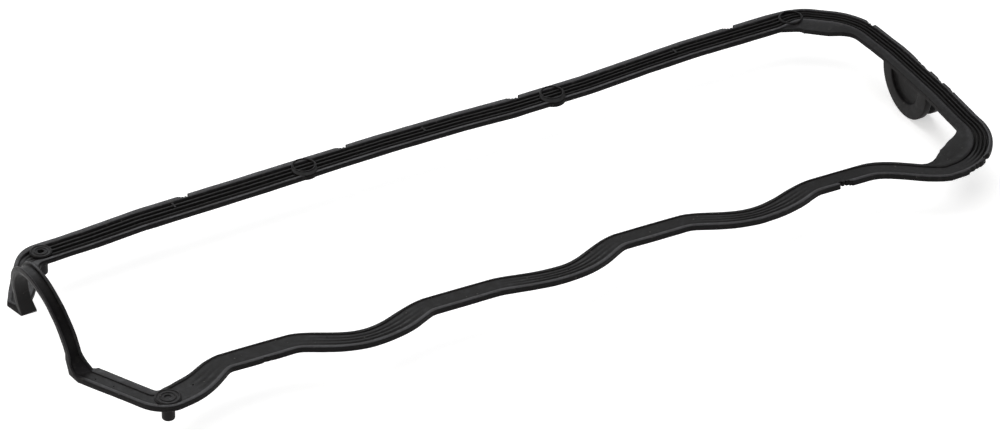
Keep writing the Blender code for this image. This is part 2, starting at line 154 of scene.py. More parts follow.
# Extra length that softens a step's foot, the skew that goes with it, and the share of the swell
# by which a step's middle moves outwards
STEP_SOFTNESS = 0.004
STEP_SKEW = 50
STEP_SHIFT = 0.35
# Stations along each step and along each stretch between two steps
STEP_STATIONS = 14
STRAIGHT_STATIONS = 6
# Where the near side's extra width starts and where its ribs fade out, each with its run
LEFT_SWELL_FADE = (-0.152, 0.014)
LEFT_RIB_FADE = (-0.1555, 0.006)
RIGHT_RIB_FADE = (0.140, 0.010)
# How far the far side lies inwards of its nominal line
FAR_SHIFT = 0.00015
# Gap between the flat band's ends and the arch's feet, and how far each foot stands to the right
FOOT_CLEARANCE = 0.0010
NEAR_FOOT_SHIFT = 0.0009
FAR_FOOT_SHIFT = 0.0012
# Slants of the first stations after the far foot, and the steps over the arch
FOOT_SLANTS = (0.2, 0.12, 0.05)
ARCH_STATIONS = 40
# Sides of the turned pieces, and how far they reach into the band so that they join it well
BOSS_SIDES = 72
PLUG_SIDES = 96
OVERLAP = 0.0002
# Height of a ring's foot above the band, and the roundings of the bosses and of the pegs' tips
RING_TOP = 0.0001
BOSS_ROUNDING = 0.0003
PEG_BEVEL = 0.0004
# The plain boss beside a ring: how far it lies to the left, its height and its rounding
CRESCENT_LEFT = 0.0009
CRESCENT_TOP = 0.00005
CRESCENT_ROUNDING = 0.0004
# Near and far corner boss, the far one's share of the near one's radii, and the height of its top
NEAR_CORNER_BOSS = (-0.1730, -0.0476)
FAR_CORNER_BOSS_X = -0.1721
FAR_CORNER_SHARE = 0.84
FAR_CORNER_TOP = 0.0002
# Two opposite corners of a rib bar, measured from its place
BAR_LOW = (-0.0004, -0.0022, -0.0014)
BAR_HIGH = (0.0004, 0.0012, -0.0001)
# Painted light of each piece that is joined or cut, from 0 for the full painted shade colour to 1
# for the face colour; the pinholes and notches are painted darkest as shade, and the same value
# sets how much dust and wear shows
PIECE_LIGHT_AND_WEAR = {"ring": 0.3, "bar": 0.15, "corner": 0.35, "crescent": 0.04, "plug": 0.2, "notch": 0.1,
         "pinhole": 0.0}
# Edge of a torn notch: shares of its length along the edge and of its depth into the band
TEARS = ((-0.5, 0.0), (-0.42, 0.3), (-0.3, 0.35), (-0.24, 0.65), (-0.1, 0.6), (0.0, 0.95),
         (0.08, 0.7), (0.2, 0.75), (0.26, 1.05), (0.46, 1.1), (0.5, 0.9))
# Edges that turn by more than this stay sharp
SHARP_ANGLE = radians(38)
FLOOR_HALF = 12.0
# Place, size and tint of each lamp
LAMPS = {
    "top": ((0.1, 0.2, 1.4), (1.6, 1.2), (1.0, 0.99, 0.98)),
    "back": ((0.3, 1.5, 0.9), (1.4, 0.7), (0.96, 0.98, 1.0)),
    "left": ((-1.4, -0.2, 0.7), (0.9, 0.8), (1.0, 0.94, 0.86)),
}

# A section's sizes; its glow lightens the groove floors and its strip lightens the walls, flat
# strips and rib crests, both as painted highlight over the painted shade
Shape = namedtuple("Shape", "width flat outer inner depth share thick glow strip")
Station = namedtuple("Station", "point side up shape")
# One point of the section: how far across and how high it lies, as shares of the station's sizes,
# and how much painted shade and painted highlight it takes
Mark = namedtuple("Mark", "half outer inner cell flat more depth rib thick rise tone edge "
                          "rib_tone floor strip", defaults=(0,) * 15)


def length(name, description, default):
    """A size in metres for a property group."""
    return FloatProperty(name=name, description=description, default=default, min=0.0,
                         precision=5, subtype="DISTANCE", unit="LENGTH")


def place(name, description, default):
    """A place in metres, on either side of the middle, for a property group."""
    return FloatProperty(name=name, description=description, default=default, precision=5,
                         subtype="DISTANCE", unit="LENGTH")


def angle(name, description, degrees):
    """An angle, given in degrees, for a property group."""
    return FloatProperty(name=name, description=description, default=radians(degrees),
                         subtype="ANGLE", unit="ROTATION")


def ratio(name, description, default):
    """A plain factor for a property group."""
    return FloatProperty(name=name, description=description, default=default, min=0.0)


def colour(name, description, default):
    """A colour for a property group."""
    return FloatVectorProperty(name=name, description=description, default=default + (1.0,),
                               size=4, min=0.0, max=1.0, subtype="COLOR")


class GasketBandSizes(PropertyGroup):
    """Sizes of the ribbed band's loop and section."""
    pitch: length("Cylinder pitch", "Distance between two bulges of the near side", 0.088)
    first_bulge: place("First bulge", "Place of the left bulge along the engine", -0.1728)
    bulge_half: length("Bulge half length", "Half the straight run along a bulge", 0.0175)
    shoulder: length("Shoulder", "Length of the step between a bulge and a straight", 0.026)
    corner_shoulder: length("Corner shoulder", "Length of the step beside the right corner", 0.034)
    straight_slope: ratio("Straight slope", "How much each near straight slopes outwards", 0.036)
    right_x: length("Right end", "Distance of the right end's centre line", 0.2026)
    right_bow: length("Right bow", "How far the right end bows out", 0.0021)
    thickness: length("Thickness", "Height of the band", 0.0024)
    ribs: IntProperty(name="Ribs", description="Sealing ribs along the band", default=3, min=1,
                      max=5)
    right_width: length("Right width", "Width of the right end", 0.0084)
    right_flat: length("Right flat", "Width of the flat beside the ribs of the right end", 0.0031)
    chamfer_width: length("Chamfer width", "Width of the slanted run at the far right", 0.0086)
    chamfer_flat: length("Chamfer flat", "Width of the flat beside that run", 0.0078)
    corner_flat: length("Corner flat", "Widest flat, in the near right corner", 0.0106)
    near_width: length("Near width", "Width of the near side", 0.0093)
    near_widening: length("Near widening", "How much wider the near side is at the left", 0.0020)
    step_swell: length("Step swell", "Four times the most extra width on a step", 0.0055)
    left_swell: length("Left swell", "Extra width beside the near left boss", 0.0022)
    diagonal_width: length("Diagonal width", "Width of the runs towards the arch", 0.0101)
    groove_depth: length("Groove depth", "Depth of the grooves beside the ribs", 0.0011)
    near_groove_depth: length("Near groove depth", "Depth of the grooves of the near side", 0.00035)
    edge_round: length("Edge rounding", "Radius of the band's top edges", 0.00035)
    far_widening: length("Far widening", "Extra width of the far side over its nominal one", 0.0011)
    far_thickness: length("Far thickness", "Height of the far side", 0.0020)
    step: length("Step", "Longest distance between two stations", 0.0025)
    wave: length("Edge wave", "How far the moulded edges wander", 0.00035)


class GasketArchSizes(PropertyGroup):
    """Sizes of the arch over the camshaft."""
    x: place("Place", "Place of the arch along the engine", -0.1952)
    y: length("Axis", "Distance of the camshaft's line", 0.0098)
    radius: length("Radius", "Inner radius of the arch", 0.0210)
    stretch: ratio("Stretch", "Height of the arch's crown over its radius", 1.08)
    leg: length("Leg", "Straight height of the two legs", 0.0074)
    lean: angle("Lean", "How far the arch leans out", 10.3)
    width: length("Width", "Width of the arch along the engine", 0.0054)
    thickness: length("Thickness", "Thickness of the arch", 0.0035)
    ridge: length("Ridge", "Width of the two border ridges", 0.0008)
    groove_depth: length("Groove depth", "Depth of the groove between the ridges", 0.0012)
    facet: length("Foot facet", "Sloped face at the outer corner of each foot", 0.0025)
    spread: length("Far foot spread", "How far the far foot stands out", 0.0012)
    flare: length("Foot flare", "How much wider the arch is at its near foot", 0.0028)


class GasketBossSizes(PropertyGroup):
    """Sizes of the ring bosses and their pegs."""
    radius: length("Radius", "Outer radius of a ring boss", 0.0052)
    body_radius: length("Body radius", "Radius of the plain boss below the ring", 0.0054)
    body_shift: length("Body shift", "How far the plain boss lies inwards of its ring", 0.0023)
    corner_radius: length("Corner radius", "Outer radius of a corner boss", 0.0054)
    corner_bead: length("Corner bead radius", "Middle radius of the outer ring", 0.0047)
    bead_radius: length("Bead radius", "Middle radius of the raised ring", 0.0046)
    bead_half: length("Bead half width", "Half the width of a raised ring's top", 0.0002)
    bead_height: length("Bead height", "Height of a raised ring", 0.00025)
    inner_bead: length("Inner bead radius", "Middle radius of the inner ring", 0.0030)
    hole_radius: length("Hole radius", "Radius of the corner bosses' blind hole", 0.0013)
    hole_depth: length("Hole depth", "Depth of the corner bosses' blind hole", 0.0012)
    peg_radius: length("Peg radius", "Radius of the pegs below the corner bosses", 0.00265)
    peg_length: length("Peg length", "Length of the pegs below the band", 0.0077)
    far_corner_y: length("Far corner boss", "Distance of the far corner boss", 0.0657)


class GasketPlugSizes(PropertyGroup):
    """Sizes of the half-moon plug."""
    front: length("Front", "Place of its front face along the engine", 0.1957)
    drop: length("Drop", "How far its line lies below the band's top", 0.0031)
    radius: length("Radius", "Radius of the two lobes", 0.01685)
    core_radius: length("Core radius", "Radius between the lobes", 0.0126)
    back_radius: length("Back radius", "Radius of the lobe at the outer edge", 0.0162)
    front_lobe: length("Front lobe", "Width of the lobe that faces the loop", 0.0031)
    back_lobe: length("Back lobe", "Width of the lobe at the outer edge", 0.0034)
    gap: length("Gap", "Distance between the lobes", 0.0036)
    pocket_radius: length("Pocket radius", "Radius of the pocket in the front face", 0.0103)
    pocket_depth: length("Pocket depth", "Depth of the pocket", 0.0015)
    rounding: length("Rounding", "Radius of the lobes' edges", 0.0006)


class GasketLook(PropertyGroup):
    """Colours and finish of the rubber, with the colour of the shade painted into its grooves and
    onto its walls.
    """
    # Painted shade: a darker colour put into the grooves and onto the walls where shade falls; the
    # face colour is the rubber's own colour
    painted_shade: colour("Deep colour", "Rubber in the grooves and on the walls", (0.0047, 0.0042, 0.0040))
    face: colour("Face colour", "Rubber on the strips and ridges", (0.0172, 0.0160, 0.0192))
    dust: colour("Dust colour", "Dust and chalky wear on the rubber", (0.22, 0.21, 0.20))
    roughness: ratio("Roughness", "Roughness of the clean rubber", 0.46)
    pinhole: length("Pinhole radius", "Radius of the pinholes along the near side", 0.0005)


class GasketStage(PropertyGroup):
    """Camera, lamps and floor."""
    azimuth: angle("Azimuth", "Direction of the camera", -29)
    elevation: angle("Elevation", "Height of the camera", 34)
    distance: length("Distance", "Distance of the camera from the middle of the drawing", 3.0)
    lens: ratio("Lens", "Focal length in millimetres", 270.0)
    sky: ratio("Sky", "Strength of the even light", 0.26)
    top_power: ratio("Top lamp", "Power of the lamp above, in watts", 7.5)
    back_power: ratio("Back lamp", "Power of the lamp behind, in watts", 14.0)
    left_power: ratio("Left lamp", "Power of the warm lamp at the left, in watts", 5.0)


GROUPS = {
    "gasket_band": GasketBandSizes,
    "gasket_arch": GasketArchSizes,
    "gasket_boss": GasketBossSizes,
    "gasket_plug": GasketPlugSizes,
    "gasket_look": GasketLook,
    "gasket_stage": GasketStage,
}


def blend(first, second, share):
    """The shape that lies the given share of the way from the first to the second."""
    return Shape(*[a + (b - a) * share for a, b in zip(first, second)])


def smooth_step(value):
    """Rise from 0 to 1 along half a cosine wave."""
    value = min(max(value, 0.0), 1.0)
    return (1 - cos(pi * value)) / 2


def band_shapes(band, arch):
    """The named sections of the band, with the widths of their strips, their ribs' height and the
    painted highlight on their groove floors and strips.
    """
    far = Shape(width=FAR_SIDE[0][2], flat=0.0004, outer=0.0026, inner=0.0013,
                depth=band.groove_depth, share=0.8, thick=band.far_thickness, glow=0.0, strip=1.0)
    right = Shape(width=band.right_width, flat=band.right_flat, outer=0.0016, inner=0.0006,
                  depth=band.groove_depth, share=0.8, thick=band.thickness, glow=0.0, strip=0.5)
    straight = Shape(width=band.near_width, flat=NEAR_FLAT, outer=0.0018, inner=0.0009,
                     depth=0.00025, share=0.0, thick=band.thickness, glow=0.1, strip=0.15)
    bulge = straight._replace(inner=0.0016, depth=band.near_groove_depth, share=0.7, glow=0.15)
    ridge = arch.ridge
    return {
        "far": far,
        "right": right,
        "chamfer": right._replace(width=band.chamfer_width, flat=band.chamfer_flat, strip=1.6),
        "straight": straight,
        "bulge": bulge,
        "plain": bulge._replace(share=0.0, glow=0.25),
        "diagonal": straight._replace(width=band.diagonal_width, inner=0.0034, depth=0.0004,
                                      glow=0.25, strip=0.9),
        "arch": Shape(width=arch.width, flat=0.0005, outer=ridge, inner=ridge,
                      depth=arch.groove_depth, share=0.0, thick=arch.thickness, glow=0.25,
                      strip=1.0),
    }


def rounded_corner(before, corner, after, radius, steps):
    """Points along an arc that rounds off a corner of the centre line."""
    before, corner, after = Vector(before), Vector(corner), Vector(after)
    back = (before - corner).normalized()
    ahead = (after - corner).normalized()
    half_angle = back.angle(ahead) / 2
    reach = radius / tan(half_angle)
    centre = corner + (back + ahead).normalized() * (reach ** 2 + radius ** 2) ** 0.5
    start = corner + back * reach - centre
    sweep = start.angle_signed(corner + ahead * reach - centre)
    return [centre + Matrix.Rotation(-sweep * i / steps, 2) @ start for i in range(steps + 1)]


def near_steps(band):
    """Place, length, start and end of each step of the near side, from right to left."""
    last = len(BULGE_Y) - 1
    steps = []
    for k in range(last, -1, -1):
        middle = band.first_bulge + band.pitch * k
        if k < last:
            early = LEFT_STEP_EARLY if k == 0 else 0.0
            falls = middle + band.bulge_half - early
            steps.append((falls, band.shoulder, STRAIGHT_Y[k], BULGE_Y[k]))
        if k > 0:
            run, late = band.shoulder, RISING_STEP_LATE
            if k == last:
                run, late = band.corner_shoulder, 0.0
            rises = middle - band.bulge_half + late
            steps.append((rises, run, BULGE_Y[k], STRAIGHT_Y[k - 1]))
    return steps


def near_point(band, shapes, x):
    """Centre line of the near side at one place along it, with its shape there."""
    width = band.near_width + band.near_widening * max(x / band.first_bulge, 0)
    y = BULGE_Y[-1]
    swell = 1.0
    for place, run, y_before, y_after in near_steps(band):
        inwards = y_after > y_before
        soft = STEP_SOFTNESS if run == band.shoulder else 0.0
        from_straight = (x - place if inwards else place - x) + run / 2
        bulged = smooth_step(max(from_straight / (run + soft), 0) ** (1 - STEP_SKEW * soft))
        share = 1 - bulged if inwards else bulged
        y += (y_after - y_before) * share
        if not inwards:
            swell += share
            width += band.step_swell * share * (1 - share)
            y -= STEP_SHIFT * band.step_swell * share * (1 - share)
        else:
            swell -= share
    from_middle = (x - band.first_bulge) % band.pitch - band.pitch / 2
    y -= band.straight_slope * from_middle * (1 - swell)
    start, fade = LEFT_SWELL_FADE
    left_swell = band.left_swell * smooth_step((start - x) / fade)
    width += left_swell
    y += left_swell / 2
    from_corner = (band.right_x - NEAR_RIGHT_TURN[0] - x) / CORNER_FLAT_RUN
    flat = CORNER_FLAT_END + (NEAR_FLAT - CORNER_FLAT_END) * smooth_step(from_corner)
    shape = blend(shapes["straight"], shapes["bulge"], swell)
    start, fade = LEFT_RIB_FADE
    shape = blend(shape, shapes["plain"], smooth_step((start - x) / fade))
    start, fade = RIGHT_RIB_FADE
    shape = blend(shape, shapes["plain"], smooth_step((x - start) / fade))
    return Vector((x, y)), shape._replace(width=width, flat=flat)


def near_side(band, shapes):
    """The wavy near side from the right-hand corner to the left-hand corner boss."""
    places = []
    for middle, run, _, _ in near_steps(band):
        if places:
            last, first = places[-1], middle + run / 2
            places += [last + (first - last) * i / STRAIGHT_STATIONS
                       for i in range(1, STRAIGHT_STATIONS)]
        places += [middle + run * (0.5 - i / STEP_STATIONS) for i in range(STEP_STATIONS + 1)]
    return [near_point(band, shapes, x) for x in places[2:]]


def corner_flat(band, share):
    """Width of the flat in the near right corner, at one share of the way round it."""
    widest = band.corner_flat
    flat = CORNER_FLAT_START + (widest - CORNER_FLAT_START) * sin(pi * min(share, 0.5))
    return flat + (CORNER_FLAT_END - widest) * smooth_step((share - 0.6) / 0.4)


def along_corner(corner, first, second, share):
    """A rounded corner's points, with shapes that go from the first to the second."""
    return [(point, blend(first, second, share(i))) for i, point in enumerate(corner)]


def flat_line(band, arch, shapes):
    """Centre line of the flat part of the loop, from the arch's far foot to its near one."""
    foot_y = arch.radius + arch.thickness + arch.facet + FOOT_CLEARANCE
    foot_x = arch.x + (band.diagonal_width - arch.width) / 2
    far_foot = (foot_x - arch.spread, arch.y + foot_y + arch.facet)
    near_foot = (foot_x, arch.y - foot_y)
    far_side = [(Vector((x, y - FAR_SHIFT)),
                 shapes["far"]._replace(width=width + band.far_widening))
                for x, y, width in FAR_SIDE]
    chamfer_end = (band.right_x - band.right_bow, RIGHT_CHAMFER_END_Y)
    right_far, right_near = [(band.right_x, y) for y in RIGHT_STRAIGHT_Y]
    near_right = (band.right_x - band.right_bow, BULGE_Y[-1])
    near_left = (NEAR_LEFT_X, BULGE_Y[0])

    line = [(Vector(far_foot), shapes["diagonal"])]
    corner = rounded_corner(far_foot, LEFT_CORNER, far_side[0][0], *LEFT_TURN)
    line += along_corner(corner, shapes["diagonal"], far_side[0][1],
                         lambda i: smooth_step(i / (LEFT_TURN[1] - 1)))
    line += far_side
    corner = rounded_corner(far_side[-1][0], RIGHT_CHAMFER_START, chamfer_end, *CHAMFER_TURN)
    line += along_corner(corner, far_side[-1][1], shapes["chamfer"],
                         lambda i: min(0.6 + i / CHAMFER_TURN[1], 1))
    corner = rounded_corner(RIGHT_CHAMFER_START, chamfer_end, right_far, *CHAMFER_END_TURN)
    line += along_corner(corner, shapes["chamfer"], shapes["right"],
                         lambda i: smooth_step(i / CHAMFER_END_TURN[1]))
    line += [(Vector(right_far), shapes["right"]), (Vector(right_near), shapes["right"])]

    near = near_side(band, shapes)
    corner = rounded_corner(right_near, near_right, near[0][0], *NEAR_RIGHT_TURN)
    line.append((corner[0] + Vector((0, CORNER_LEAD)), shapes["right"]))
    start, fade = CORNER_RIB_FADE
    for i, point in enumerate(corner[:-2]):
        share = i / NEAR_RIGHT_TURN[1]
        shape = blend(shapes["right"], shapes["plain"], smooth_step((share - start) / fade))
        line.append((point, shape._replace(flat=corner_flat(band, share))))
    line += near
    corner = rounded_corner(near[-1][0], near_left, near_foot, *NEAR_LEFT_TURN)
    line += along_corner(corner, near[-1][1], shapes["diagonal"],
                         lambda i: smooth_step(i / NEAR_LEFT_TURN[1]))
    line.append((Vector(near_foot), shapes["diagonal"]))
    return line


def resampled(line, step):
    """The same line with no two neighbours further apart than a step."""
    result = [line[0]]
    for (start, before), (end, after) in zip(line, line[1:]):
        count = max(int((end - start).length / step), 1)
        for i in range(1, count + 1):
            result.append((start.lerp(end, i / count), blend(before, after, i / count)))
    return result


def flat_stations(band, arch, shapes):
    """Stations of the flat part, each across the bisector of its two neighbouring stretches."""
    line = resampled(flat_line(band, arch, shapes), band.step)
    stations = []
    for i, (point, shape) in enumerate(line):
        into = (point - line[i - 1][0]).normalized() if i else Vector((0, 1))
        out = (line[i + 1][0] - point).normalized() if i + 1 < len(line) else Vector((0, 1))
        heading = (into + out).normalized()
        stretch = 1 / max(heading.dot(out), 0.5)
        side = Vector((heading.y, -heading.x, 0)) * stretch
        stations.append(Station(point.to_3d(), side, Vector((0, 0, 1)), shape))
    stations = [station._replace(side=mean_side(stations, i)) for i, station in enumerate(stations)]
    for i, slant in enumerate(FOOT_SLANTS):
        stations[i] = stations[i]._replace(side=stations[i].side + Vector((0, slant, 0)))
    return stations


def mean_side(stations, index):
    """Mean direction across the band of a few neighbouring stations, which spreads a sharp bend."""
    reach = min(3, index, len(stations) - 1 - index)
    near = [station.side for station in stations[index - reach:index + reach + 1]]
    return sum(near, Vector((0, 0, 0))) / len(near)


def lean(arch, y, height):
    """A vector in the arch's plane, given across the engine and up the leaning arch."""
    return Vector((-height * sin(arch.lean), y, height * cos(arch.lean)))


def foot_stations(band, arch, shapes, across):
    """The two stations where the band turns up into the arch, across = -1 near and 1 far."""
    base = Vector((arch.x, arch.y + across * (arch.radius + arch.thickness), 0))
    low_bottom = Vector((0, -across * (arch.thickness - arch.facet / 2), -band.thickness))
    high_bottom = lean(arch, -across * arch.thickness, -band.thickness + arch.facet / 2)
    low = Vector((0, across * arch.facet, 0))
    high = lean(arch, 0, arch.facet)
    shape = shapes["arch"]._replace(depth=band.near_groove_depth)
    flat_side = Vector((1, 0, 0))
    leaning_side = Vector((cos(arch.lean), 0, sin(arch.lean)))
    flare = arch.flare if across < 0 else arch.flare / 2
    shift = Vector((NEAR_FOOT_SHIFT if across < 0 else FAR_FOOT_SHIFT, 0, 0))
    # The feet's groove floors take a strong painted highlight
    return [Station(base + low + shift, flat_side, (low - low_bottom) / shape.thick,
                    shape._replace(width=arch.width + flare, glow=0.8)),
            Station(base + high + shift / 2, (flat_side + leaning_side) / 2,
                    (high - high_bottom) / shape.thick,
                    shape._replace(width=arch.width + 0.6 * flare, glow=0.6))]


def arch_stations(arch, shapes):
    """Stations up the near leg, over the crest and down the far leg."""
    base = Vector((arch.x, arch.y, 0))
    side = Vector((cos(arch.lean), 0, sin(arch.lean)))
    half_width = arch.radius + arch.thickness
    rise = arch.radius * arch.stretch + arch.thickness
    shape = shapes["arch"]
    flared = shape._replace(width=arch.width + 0.3 * arch.flare)
    near_leg = base + lean(arch, -half_width, 2 * arch.facet)
    far_leg = base + lean(arch, half_width, 2 * arch.facet)
    stations = [Station(near_leg, side, lean(arch, -1, 0), flared)]
    for i in range(ARCH_STATIONS + 1):
        turn = pi * i / ARCH_STATIONS
        point = lean(arch, -half_width * cos(turn), arch.leg + rise * sin(turn))
        normal = lean(arch, -rise * cos(turn), half_width * sin(turn)).normalized()
        stations.append(Station(base + point, side, normal, shape))
    stations.append(Station(far_leg, side, lean(arch, 1, 0), shape))
    return stations


def section_marks(ribs, rounding):
    """The closed outline of the band's section, from its outer bottom round to its inner bottom,
    with the painted shade of each point: darkest in the grooves and on the walls, lighter up the
    rounded edges and on the strips.
    """
    r = rounding
    # Height of the mould's seam on the wall, sink of the strips' edges, width of these edges, and
    # drop of the flat face beside the ribs
    seam = 0.00008
    sag = 0.00008
    lip = 0.0002
    slope = 0.0004
    # The outer wall is painted dark as shade, and the mould's seam on it a little lighter as a
    # painted highlight
    marks = [Mark(half=-1, more=0.7 * r, thick=-1, tone=0.1, strip=0.1, edge=1),
             Mark(half=-1, thick=-1, rise=0.7 * r, tone=0.1, strip=0.1, edge=1),
             Mark(half=-1, thick=-0.62, tone=0.12, strip=0.25, edge=1),
             Mark(half=-1, more=-seam, thick=-0.58, tone=0.3, strip=0.3, edge=1),
             Mark(half=-1, thick=-0.54, tone=0.12, strip=0.25, edge=1)]
    # The rounded top edge is painted lighter step by step towards the top, as painted shade that
    # fades out
    for k in range(5):
        turn = pi / 2 * k / 4
        marks.append(Mark(half=-1, more=r * (1 - cos(turn)), rise=r * (sin(turn) - 1),
                          tone=0.2 + 0.16 * k, edge=1))
    # The outer strip keeps the face colour; the groove beside it is painted dark as shade, and its
    # floor takes the station's painted highlight
    marks += [Mark(half=-0.5, outer=0.5, more=r / 2, rise=sag / 2, tone=1.0, edge=0.5),
              Mark(outer=1, more=-lip, tone=1.0),
              Mark(outer=1, rise=-sag, tone=0.7),
              Mark(outer=1, cell=0.8, depth=-0.9, tone=0.0, floor=0.6)]
    # Each rib takes four cells: where a point lies in them, and its share of the rib's height
    rise_and_fall = ((1.2, 0.0), (1.9, 0.0), (2.3, 0.45), (2.8, 0.9), (3.5, 1.0), (4.2, 0.9),
                     (4.7, 0.45))
    for k in range(ribs):
        # The rib crests are painted lighter than the grooves between them; the last rib is lower
        # and its crest painted darker as shade
        faint = 0.8 if k == ribs - 1 else 1.0
        for across, share in rise_and_fall:
            height = share * faint
            marks.append(Mark(outer=1, cell=4 * k + across, depth=height - 1, rib=height,
                              tone=0.03, rib_tone=0.1 * share * faint, floor=1))
    # The inner grooves are painted dark as shade and the inner strip's edge lighter as a painted
    # highlight; the flat beside it darkens towards its rounding as painted shade
    marks += [Mark(inner=1, cell=-0.6, depth=-1, tone=0.0, floor=1.0),
              Mark(inner=1, cell=-0.35, depth=-0.95, tone=0.0, floor=0.8),
              Mark(inner=1, rise=-sag, tone=0.1, strip=0.5),
              Mark(inner=1, more=lip, tone=0.1, strip=0.75),
              Mark(half=1, more=-lip / 2, tone=0.1, strip=0.75, edge=-0.3),
              Mark(half=1, flat=0.12, rise=-0.3 * slope, tone=0.05, strip=0.4, edge=-0.5),
              Mark(half=1, flat=0.3, rise=-slope, tone=0.0, strip=0.22, edge=-0.6)]
    for k in range(4):
        turn = pi / 2 * k / 3
        marks.append(Mark(half=1, flat=1, more=0.6 * r * (sin(turn) - 1),
                          rise=0.6 * r * (cos(turn) - 1) - slope, tone=0.0, strip=0.22, edge=-1))
    marks += [Mark(half=1, flat=1, thick=-1, rise=0.7 * r, tone=0.15, edge=-1),
              Mark(half=1, flat=1, more=-0.7 * r, thick=-1, tone=0.15, edge=-1)]
    return marks


def put(name, mesh):
    """Put a mesh into the scene as an object at the origin."""
    thing = bpy.data.objects.new(name, mesh)
    bpy.context.scene.collection.objects.link(thing)
    return thing


def from_bmesh(name, source):
    """Put a bmesh into the scene as an object at the origin."""
    mesh = bpy.data.meshes.new(name)
    source.to_mesh(mesh)
    source.free()
    return put(name, mesh)


def take_away(*things):
    """Remove helper objects."""
    for thing in things:
        bpy.data.objects.remove(thing, do_unlink=True)


def set_vectors(mesh, name, values):
    """Store one vector for each vertex."""
    layer = mesh.attributes.new(name, "FLOAT_VECTOR", "POINT")
    layer.data.foreach_set("vector", np.array(values, dtype=np.float32).ravel())


def ring_of_points(name, places):
    """A closed loop of edges through some places."""
    count = len(places)
    mesh = bpy.data.meshes.new(name)
    mesh.from_pydata([tuple(spot) for spot in places],
                     [(i, (i + 1) % count) for i in range(count)], [])
    return put(name, mesh)


def rail_object(stations, ribs):
    """The stations as a closed rail that carries the sizes of its sections and their levels of
    painted highlight.
    """
    places = [station.point + DRAWING for station in stations]
    rail = ring_of_points("band_rail", places)
    widths, cells, heights, shares = [], [], [], []
    for station in stations:
        shape = station.shape
        half = shape.width / 2
        outer = shape.outer - half
        inner = half - shape.inner
        widths.append((half, outer, inner))
        cells.append(((inner - outer) / (4 * ribs + 3), shape.flat, 1.0))
        heights.append((shape.depth, shape.depth * (shape.share - 1), shape.thick))
        # Painted highlight of the station on its rib crests, on its groove floors and on its walls
        # and strips
        shares.append((shape.share * shape.strip, shape.glow, shape.strip))
    layers = {"at": places, "side": [station.side for station in stations],
              "up": [station.up for station in stations], "widths": widths, "cells": cells,
              "heights": heights, "shares": shares}
    for name, values in layers.items():
        set_vectors(rail.data, "rail_" + name, values)
    return rail


def section_object(marks):
    """The section as a closed loop that carries each point's shares of the station's sizes, with
    its painted shade and its shares of the station's painted highlight.
    """
    count = len(marks)
    places = [(cos(2 * pi * i / count), sin(2 * pi * i / count), 0) for i in range(count)]
    profile = ring_of_points("band_section", places)
    layers = {"widths": "half outer inner", "cells": "cell flat more", "heights": "depth rib thick",
              "finish": "rise edge tone", "shares": "rib_tone floor strip"}
    for name, fields in layers.items():
        values = [[getattr(mark, field) for field in fields.split()] for mark in marks]
        set_vectors(profile.data, "mark_" + name, values)
    return profile


class Nodes:
    """Short calls for building a node tree."""

    def __init__(self, tree):
        self.tree = tree

    def feed(self, node, values):
        """Link or set some of a node's inputs."""
        for socket, value in dict(values).items():
            if isinstance(value, bpy.types.NodeSocket):
                self.tree.links.new(value, node.inputs[socket])
            else:
                node.inputs[socket].default_value = value

    def node(self, kind, outlet=0, links=(), **settings):
        """Add a node with its settings and linked or given inputs, and return one output."""
        added = self.tree.nodes.new(kind)
        for key, value in settings.items():
            setattr(added, key, value)
        self.feed(added, links)
        return added.outputs[outlet]

    def maths(self, operation, first, second):
        """Number arithmetic on two inputs."""
        return self.node("ShaderNodeMath", 0, {0: first, 1: second}, operation=operation)


class GeometryTree(Nodes):
    """A Geometry Nodes tree with named inputs."""

    def __init__(self, name, inputs):
        super().__init__(bpy.data.node_groups.new(name, "GeometryNodeTree"))
        sockets = self.tree.interface
        sockets.new_socket("Geometry", in_out="INPUT", socket_type="NodeSocketGeometry")
        for label, kind, default in inputs:
            socket = sockets.new_socket(label, in_out="INPUT", socket_type="NodeSocket" + kind)
            if default is not None:
                socket.default_value = default
        sockets.new_socket("Geometry", in_out="OUTPUT", socket_type="NodeSocketGeometry")
        self.inputs = self.tree.nodes.new("NodeGroupInput").outputs

    def attribute(self, name):
        """Read a stored vector."""
        return self.node("GeometryNodeInputNamedAttribute", links={"Name": name},
                         data_type="FLOAT_VECTOR")

    def vector(self, operation, first, second, outlet="Vector"):
        """Vector arithmetic on two inputs."""
        slot = "Scale" if operation == "SCALE" else 1
        return self.node("ShaderNodeVectorMath", outlet, {0: first, slot: second},
                         operation=operation)

    def sizes(self, name):
        """The stored sizes of a station times the stored shares of a point, added up."""
        return self.vector("DOT_PRODUCT", self.attribute("mark_" + name),
                           self.attribute("rail_" + name), "Value")

    def end(self, geometry, material):
        """Realize instances, set the material and link the output."""
        real = self.node("GeometryNodeRealizeInstances", links={"Geometry": geometry})
        done = self.node("GeometryNodeSetMaterial", links={"Geometry": real, "Material": material})
        output = self.tree.nodes.new("NodeGroupOutput")
        self.tree.links.new(done, output.inputs[0])
        return self.tree


